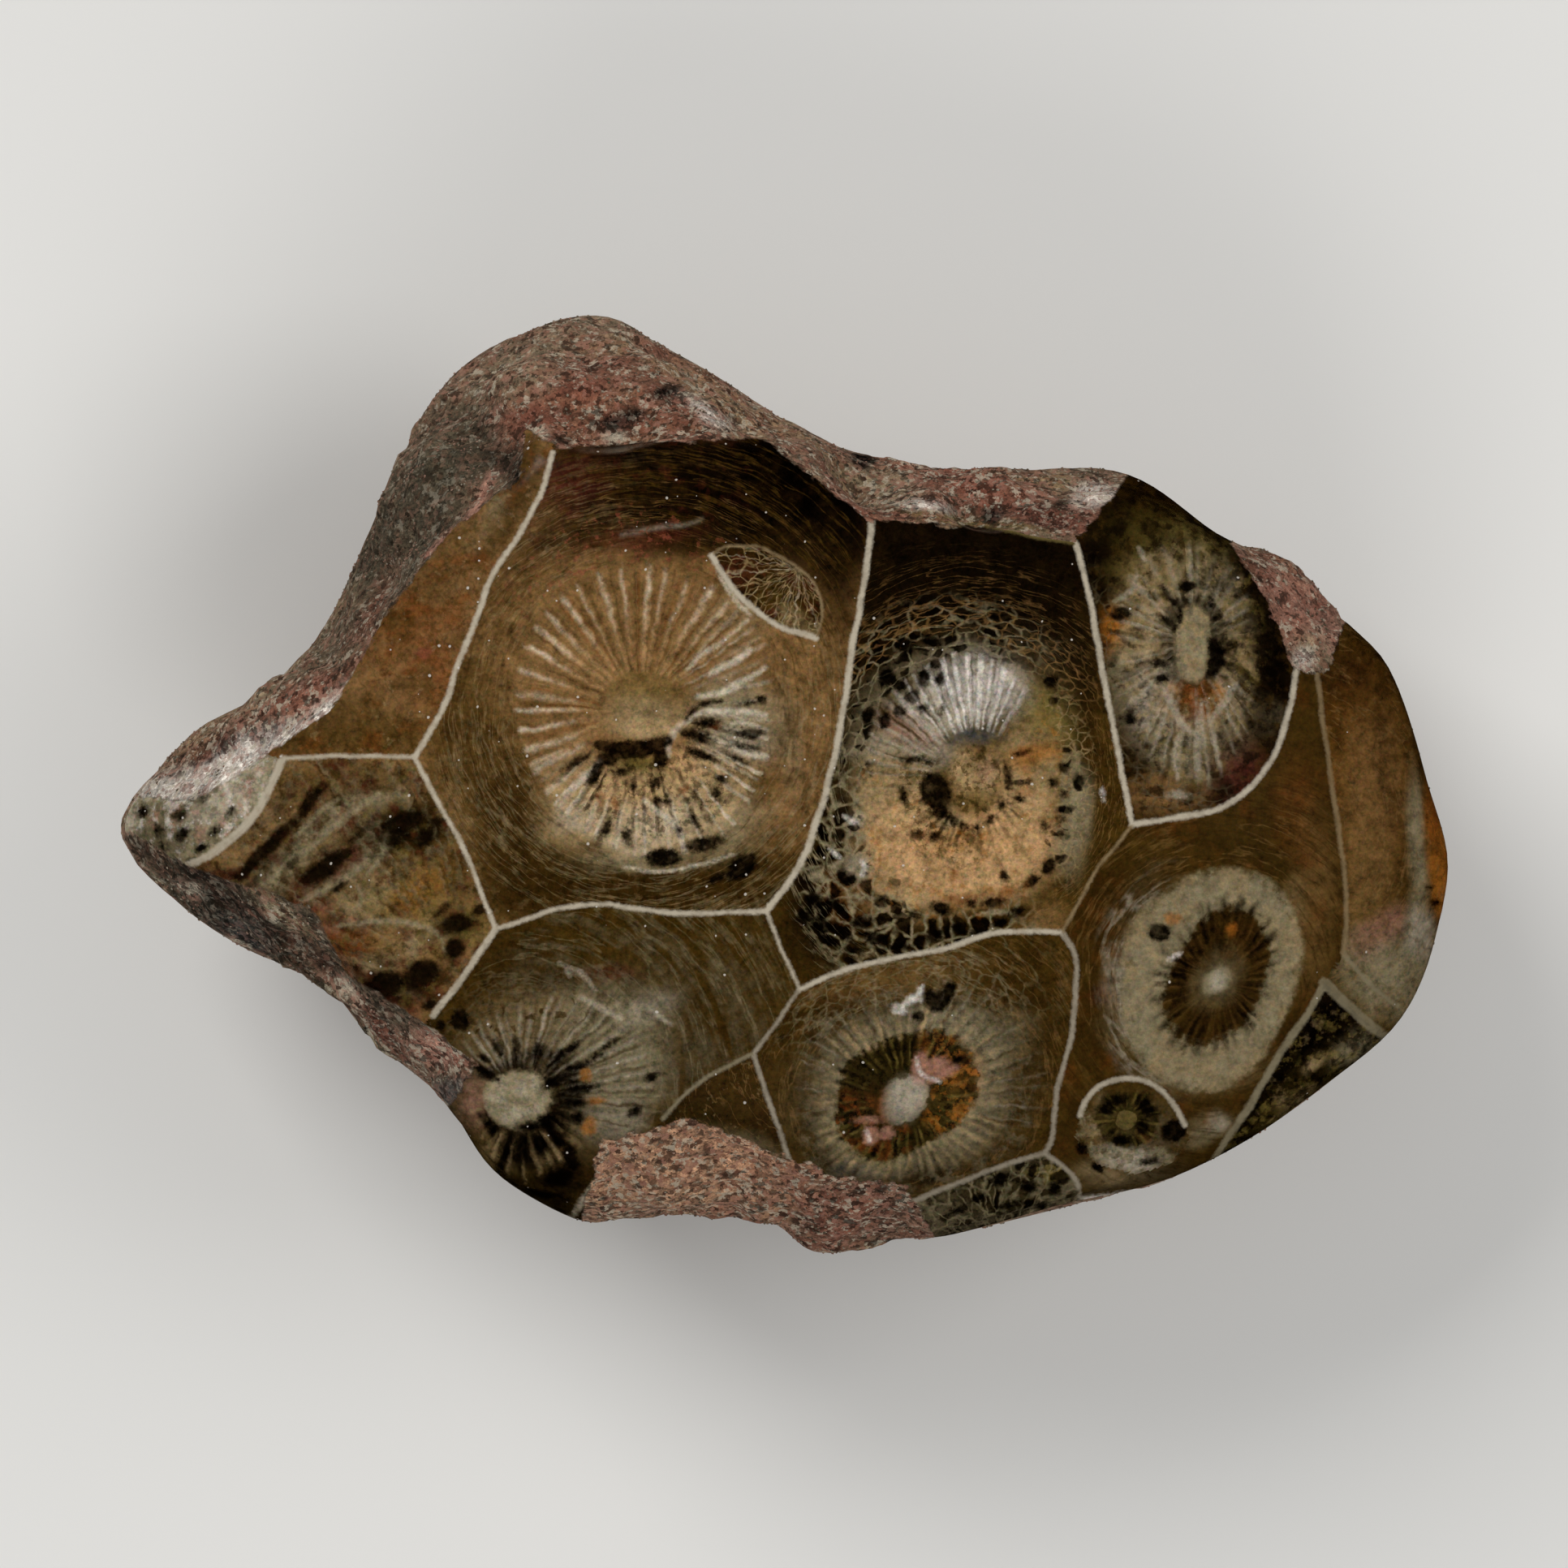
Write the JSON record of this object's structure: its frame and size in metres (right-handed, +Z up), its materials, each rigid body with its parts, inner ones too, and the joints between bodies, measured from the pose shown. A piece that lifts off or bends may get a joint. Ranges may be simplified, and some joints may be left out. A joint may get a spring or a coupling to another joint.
{
  "type": "petoskey stone",
  "caption": "Pebble of fossil colony coral with a ground and polished domed front, a rough rim and a worn back, lying on a small flat spot.",
  "frame": {"origin": "middle of the stone's length and width, on the surface it lies on", "axes": "+X along its length away from the pointed spur, +Y across its width towards the rough top rim, +Z up out of the polished front"},
  "size_m": [0.046, 0.0324, 0.0195],
  "materials": {
    "coral_limestone": "brown fossil coral polished to a gloss on the front, with white cell walls, cream cups and a rough red and grey limestone rim and back"
  },
  "bodies": {
    "root": {"petoskey_stone": "coral_limestone"}
  },
  "joints": []
}
